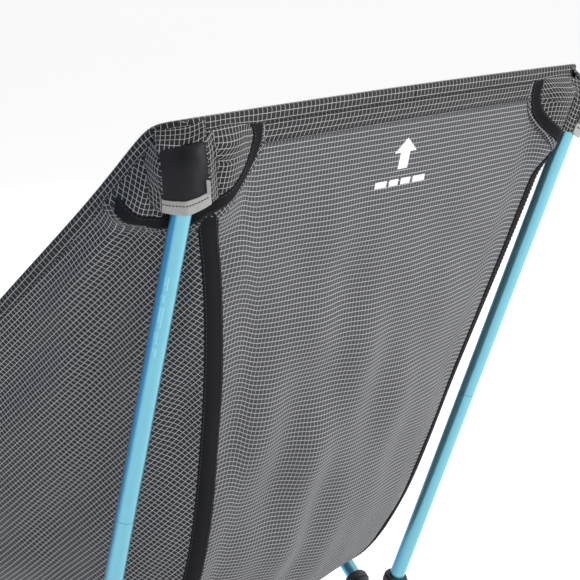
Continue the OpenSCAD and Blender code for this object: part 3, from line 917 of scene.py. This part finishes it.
def binding(corner):
    """Black binding round the patch's rim, with a bias-cut strip just outside it."""
    end, side = corner.name.split("_")
    t = np.linspace(0.045, 0.955, 90)
    wide = 11.2 * MM
    distances = np.array([wide, wide * 0.97, wide * 0.8, wide * 0.5, wide * 0.2, wide * 0.03, 0])
    lift = np.array([0.8, 1.25, 1.5, 1.6, 1.5, 1.25, 0.6]) * MM
    under_hem = smooth_step(np.minimum(t - t[0], t[-1] - t) / 0.06)
    grid, a, v = corner.ring(distances, t, lift[:, None] * (0.5 + 0.5 * under_hem))
    uvs = arc_uvs(grid.swapaxes(0, 1)).swapaxes(0, 1)
    obj = strip("binding_cloth_" + corner.name, grid, M_TAPE, FOLDED_T, uvs, -corner.flip())
    attach(obj, "black_tape", f"{end}_binding_{side}")
    t2 = np.linspace(0.01, 0.99, 130)
    ragged = 1 + 0.25 * np.sin(t2 * 210) * np.sin(t2 * 57 + 1)
    sliver, a, v = corner.ring(np.array([1.2, 0, -1.6, -3.2]) * MM, t2, np.array([0.9, 0.9, 0.8, 0.7]) * MM)
    edge, a, v = corner.ring(np.array([-4.6 * MM]), t2, np.array([0.6 * MM]))
    frayed = sliver[-1] + (edge[0] - sliver[-1]) * ragged[:, None]
    sliver = np.concatenate([sliver, frayed[None]], axis=0)
    bias = strip("bias_strip_" + corner.name, sliver, M_SLIVER, FOLDED_T, corner.local_uvs(sliver),
                 -corner.flip())
    attach(bias, "patch_fabric")
    seam = []
    for at in (wide * 0.86, wide * 0.14):
        line, a, v = corner.ring(np.array([at]), t, np.array([1.6 * MM]))
        seam += stitches_along(line[0], cloth.normal(a[0], v[0]), 2.6 * MM, 1.8 * MM)
    sewn = sew("binding_stitches_" + corner.name, seam, M_TAPE_THREAD)
    return [obj, bias, sewn]


def pocket(corner):
    """Smooth pocket cloth over the pole, ripstop strips down its sides and a flap over its closed end."""
    end, side = corner.name.split("_")
    x, s, h = corner.pocket_grid()
    grid = corner.world(x, s, h)
    obj = strip("pocket_cloth_" + corner.name, grid, M_POCKET, POCKET_T, corner.local_uvs(grid), corner.side)
    attach(obj, "pocket_fabric", f"{end}_pocket_{side}")
    pieces, seam = [], []
    wide = 7.4 * MM
    for k, sign in ((0, -1), (-1, 1)):
        j = np.linspace(0, 1, 9)
        xs, ss, hs = x[:, k], s[:, k], h[:, k]
        run = np.linspace(0, 1, 46)
        base = np.linspace(0, 1, len(xs))
        xs, ss, hs = (np.interp(run, base, w) for w in (xs, ss, hs))
        widths = wide * (1 if sign > 0 else 0.5 + 0.5 * smooth_step(run / 0.4))
        fx = xs[:, None] + sign * (j[None, :] * np.broadcast_to(widths, run.shape)[:, None] - 0.9 * MM)
        fs = ss[:, None] + 0 * fx
        low = corner.height_of_cloth(fx, fs) + 1.25 * MM
        high = np.maximum(hs[:, None] + 0.5 * MM, low)
        shoulder = smooth_step(j)[None, :]
        fh = high * (1 - shoulder) + low * shoulder
        strip_grid = corner.world(fx, fs, fh)
        if sign < 0:
            strip_grid, fx = strip_grid[:, ::-1], fx[:, ::-1]
        piece = f"pocket_side_{corner.name}_{'in' if sign > 0 else 'out'}"
        made = strip(piece, strip_grid, M_PATCH, DOUBLED_T, arc_uvs(strip_grid), corner.side)
        pieces.append(attach(made, "patch_fabric"))
        normals = corner.outward(strip_grid)
        for c in (1, -2):
            line, up = strip_grid[2:, c], normals[2:, c]
            seam += stitches_along(line + up * 0.25 * MM, up, 2.2 * MM, 1.5 * MM)
    pieces.append(flap(corner, x[0], s[0], h[0]))
    sewn = sew("pocket_stitches_" + corner.name, seam)
    return [obj] + pieces + [sewn]


def flap(corner, xs, ss, hs):
    """Ripstop flap from the hem down over the pocket's closed end."""
    n = 40
    u = np.linspace(-0.03, 1.06, n)
    base = np.linspace(0, 1, len(xs))
    slope = (ss[-1] - ss[0]) / (xs[-1] - xs[0])
    fx = xs[0] + (xs[-1] - xs[0]) * u
    edge_s = ss[0] + (fx - xs[0]) * slope
    edge_h = np.interp(u, base, hs)
    down = np.linspace(0, 1, 12)
    d, x = np.meshgrid(down, fx, indexing="ij")
    s = edge_s[None, :] + (0.9 - 7.2 * (1 - d)) * MM
    low = corner.height_of_cloth(x, s) + 1.3 * MM
    over = np.maximum(corner.pole_height(x, s, 1.3 * MM), -1)
    raised = np.maximum(np.maximum(edge_h[None, :] + 0.9 * MM, low), over)
    part = smooth_step(d * 1.25)
    ends = smooth_step((0.5 + 0.1 - np.abs(u - 0.5)) / 0.1)[None, :]
    h = low + np.maximum(raised - low, 0) * part * ends
    h = np.maximum(h, over)
    grid = corner.world(x, s, h)
    obj = strip("pocket_flap_" + corner.name, grid, M_PATCH, POCKET_T, arc_uvs(grid), corner.side)
    return attach(obj, "patch_fabric")


def mouth_tape(corner):
    """Grosgrain tape over the pocket's mouth, its inner end turned up along the pocket's side."""
    end, side = corner.name.split("_")
    x, s, h = corner.pocket_grid()
    rows, tape_w = len(s), 7.6 * MM
    reach = tape_w / np.mean(s[-1] - s[0])
    t = np.linspace(1 - reach, 1.012, 10) * (rows - 1)
    i = np.clip(t.astype(int), 0, rows - 2)
    f = (t - i)[:, None]
    tx, ts, th = (w[i] * (1 - f) + w[i + 1] * f for w in (x, s, h))
    th = th + (0.55 + 0.25 * np.sin(np.linspace(0, math.pi, len(t))))[:, None] * MM
    grid = corner.world(tx, ts, th)
    obj = strip("mouth_tape_cloth_" + corner.name, grid, M_MOUTH, GROSGRAIN_T, arc_uvs(grid)[..., ::-1],
                corner.side)
    attach(obj, "mouth_tape", f"{end}_mouth_tape_{side}")
    normals = corner.outward(grid)
    line = grid[3] + normals[3] * 0.32 * MM
    sewn = sew("mouth_stitches_" + corner.name, stitches_along(line, normals[3], 1.9 * MM, 1.3 * MM),
                  M_THREAD, 0.26 * MM)
    k = np.linspace(0, 1, 12)[:, None]
    across = np.linspace(-1.9, 0.4, 5)[None, :] * MM
    tab_s = ts[0, -1] + 1.0 * MM + k * (-8.0 * MM) + 0 * across
    tab_x = tx[0, -1] - (k * 8 * MM) * (x[-1, -1] - x[0, -1]) / (s[-1, -1] - s[0, -1]) + across
    tab_h = th[0, -1] + 0.9 * MM + 0 * tab_s + 0.5 * MM * np.sin(k * math.pi)
    tab_grid = corner.world(tab_x, tab_s, tab_h)
    tab = strip("mouth_tab_" + corner.name, tab_grid, M_MOUTH, GROSGRAIN_T, arc_uvs(tab_grid), corner.side)
    attach(tab, "mouth_tape")
    return [obj, sewn, tab]


# ---- print on the back
def panel_place(x, z):
    """(a, v) of the point of the centre panel at a given x and height, on the back."""
    v = np.linspace(0, 0.3, 400)
    height = cloth.at(np.zeros(v.shape), v)[:, 2]
    at_v = np.interp(-z, -height, v)
    seam_x = np.interp(at_v, v, np.abs(cloth.at(np.ones(v.shape), v)[:, 0]))
    return x / seam_x, at_v


def printed(name, shapes):
    """Fills polygons with a fine grid of cells so that they follow the cloth."""
    cell, lean, middle = 0.5 * MM, 0.12, 0.592
    verts, faces, index = [], [], {}
    for shape in shapes:
        shape = np.array(shape)
        lo, hi = shape.min(0), shape.max(0)
        nx, nz = (int(math.ceil((hi[i] - lo[i]) / cell)) for i in (0, 1))
        for i in range(nx):
            for k in range(nz):
                x, z = lo + (np.array([i, k]) + 0.5) * cell
                if not inside(shape, x, z):
                    continue
                face = []
                for di, dk in ((0, 0), (1, 0), (1, 1), (0, 1)):
                    px, pz = lo + np.array([i + di, k + dk]) * cell
                    key = (round(px / cell * 4), round(pz / cell * 4))
                    if key not in index:
                        a, v = panel_place(px - lean * (pz - middle), pz)
                        index[key] = len(verts)
                        verts.append(cloth.at(a, v, PANEL_T / 2 + 0.05 * MM))
                    face.append(index[key])
                faces.append(tuple(face))
    obj = new_object(name, verts, faces, M_INK)
    attach(obj, "centre_fabric")
    return obj


def inside(shape, x, z):
    hit = False
    for (x0, z0), (x1, z1) in zip(shape, np.roll(shape, -1, 0)):
        if (z0 > z) != (z1 > z) and x < x0 + (z - z0) * (x1 - x0) / (z1 - z0):
            hit = not hit
    return hit


def printed_arrow():
    top, shoulder, foot = 0.6015, 0.5925, 0.582
    head, shaft = 11.2 * MM, 4.9 * MM
    arrow = [(0, top), (head, shoulder), (shaft, shoulder), (shaft, foot), (-shaft, foot), (-shaft, shoulder),
             (-head, shoulder)]
    bars = []
    for start, end in ((-25, -13), (-10.5, -1), (1.5, 10.5), (13, 24)):
        bars.append([(start * MM, 0.5755), (end * MM, 0.5755), (end * MM, 0.5717), (start * MM, 0.5717)])
    return printed("printed_arrow", [arrow] + bars)


# The print lies just off the 12 mm tube
PRINT_R = 6.04 * MM


def pole_print(name, side):
    """Faint dashes printed along the outside of a back pole, standing for its print."""
    tip, hub = (p * np.array([side, 1, 1]) for p in (BACK_TIP, HUB))
    along = unit(hub - tip)
    facing = np.array([0.724 * side, 0.69, 0.0])
    facing = unit(facing - along * (facing @ along))
    across = np.cross(along, facing)
    verts, faces = [], []
    for start, length, turn in ((79, 9, -4), (91, 5, 3), (99, 14, -4), (116, 8, 3), (127, 6, -4)):
        for line in range(2):
            angles = np.radians(np.linspace(turn + line * 15, turn + line * 15 + 7, 5))
            base = len(verts)
            for d in np.linspace(start, start + length - 3 * line, 4) * MM:
                for t in angles:
                    verts.append(tip + along * d + (facing * math.cos(t) + across * math.sin(t)) * PRINT_R)
            for i in range(3):
                for j in range(4):
                    k = base + i * 5 + j
                    faces.append((k, k + 1, k + 6, k + 5))
    obj = new_object("pole_print_" + name, verts, faces, M_POLE_PRINT)
    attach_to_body(obj, "frame")


for side_name, side in SIDES.items():
    pole_print(side_name, side)

# ---- assemble the sling
corners = {(end, name): Corner(end, side) for end in ("back", "front") for name, side in SIDES.items()}
for made in corners.values():
    cloth.lift(made)
centre = centre_panel()
wings = {name: wing(name, side) for name, side in SIDES.items()}
hem = edge_hem()
top_band = band("top_hem", 0.0115, 0.0285, 0.78, M_HEM, 0.7 * MM)
front_band = band("front_hem", 0.975, 0.991, 0.74, M_HEM, 0.7 * MM)
arrow = printed_arrow()
wing_extras = {name: [] for name in SIDES}
for side_name, side in SIDES.items():
    extras = seam_tape(side_name, side)
    for end in ("back", "front"):
        corner = corners[end, side_name]
        extras += [patch(corner)] + binding(corner) + pocket(corner) + mouth_tape(corner)
    wing_extras[side_name] = extras


# ---- stage, light and camera
def stage():
    """Pale floor that glows a little, as on a light table, and a white studio that is dim on one side."""
    size = 30.0
    paint = plain("floor_paint", (0.86, 0.86, 0.86), 0.85, 2.0, 0.01)
    glow = paint.node_tree.nodes["Principled BSDF"]
    glow.inputs["Emission Color"].default_value = (1, 1, 1, 1)
    glow.inputs["Emission Strength"].default_value = 0.35
    floor = new_object("floor", [(-size, -size, 0), (size, -size, 0), (size, size, 0), (-size, size, 0)],
                       [(0, 1, 2, 3)], paint, smooth=False)
    world = bpy.data.worlds.new("studio")
    bpy.context.scene.world = world
    world.use_nodes = True
    tree = world.node_tree
    back = tree.nodes["Background"]
    place = node(tree, "ShaderNodeTexCoord")
    facing = node(tree, "ShaderNodeVectorMath", operation="DOT_PRODUCT")
    tree.links.new(place.outputs["Generated"], facing.inputs[0])
    facing.inputs[1].default_value = (0.5, -0.866, 0.0)
    white, dim = (1, 1, 1), (0.03, 0.035, 0.045)
    shade = ramp(tree, facing.outputs["Value"], [(0.0, white), (0.3, white), (0.72, dim)])
    tree.links.new(shade, back.inputs["Color"])
    back.inputs["Strength"].default_value = 0.85


def gloss_card():
    """Blue card at the side that shows only in gloss, as the deep edge down each anodised pole."""
    paint = plain("card_paint", (0.02, 0.02, 0.02), 0.9, 2.0, 0.01)
    glow = paint.node_tree.nodes["Principled BSDF"]
    glow.inputs["Emission Color"].default_value = (0.03, 0.4, 0.85, 1)
    glow.inputs["Emission Strength"].default_value = 0.75
    near, far, top = (-0.145, -1.25), (1.5, 0.2), 1.0
    card = new_object("gloss_card", [(*near, 0), (*far, 0), (*far, top), (*near, top)], [(0, 1, 2, 3)], paint,
                      smooth=False)
    for kind in ("camera", "diffuse", "shadow", "transmission", "volume_scatter"):
        setattr(card, "visible_" + kind, False)


def area_light(name, place, target, size, power, tint=(1, 1, 1)):
    data = bpy.data.lights.new(name, "AREA")
    data.shape = "RECTANGLE"
    data.size, data.size_y = size
    data.energy = power
    data.color = tint
    lamp = bpy.data.objects.new(name, data)
    lamp.location = place
    lamp.rotation_euler = (Vector(target) - Vector(place)).to_track_quat("-Z", "Y").to_euler()
    bpy.context.scene.collection.objects.link(lamp)


def camera():
    """Behind the chair on the sitter's left, looking at the near corner of the back."""
    data = bpy.data.cameras.new("camera")
    data.sensor_width = 36.0
    data.lens = 100.46
    data.clip_end = 100
    cam = bpy.data.objects.new("camera", data)
    azimuth, pitch, roll = (math.radians(x) for x in (46.411, 11.766, -2.535))
    level = math.cos(pitch)
    ahead = Vector((-math.sin(azimuth) * level, -math.cos(azimuth) * level, -math.sin(pitch)))
    right = ahead.cross(Vector((0, 0, 1))).normalized()
    up = right.cross(ahead)
    right, up = (right * math.cos(roll) + up * math.sin(roll), up * math.cos(roll) - right * math.sin(roll))
    place = Vector((0.78654, 0.83494, 0.7181))
    cam.matrix_world = Matrix.Translation(place) @ Matrix((right, up, -ahead)).transposed().to_4x4()
    bpy.context.scene.collection.objects.link(cam)
    bpy.context.scene.camera = cam


bpy.context.scene.view_settings.view_transform = "Standard"
stage()
gloss_card()
area_light("key", (-1.8, 2.2, 2.0), (0, 0.1, 0.4), (1.2, 1.2), 60)
area_light("front", (-0.8, -2.6, 2.2), (0, 0, 0.4), (2.0, 2.0), 30)
camera()
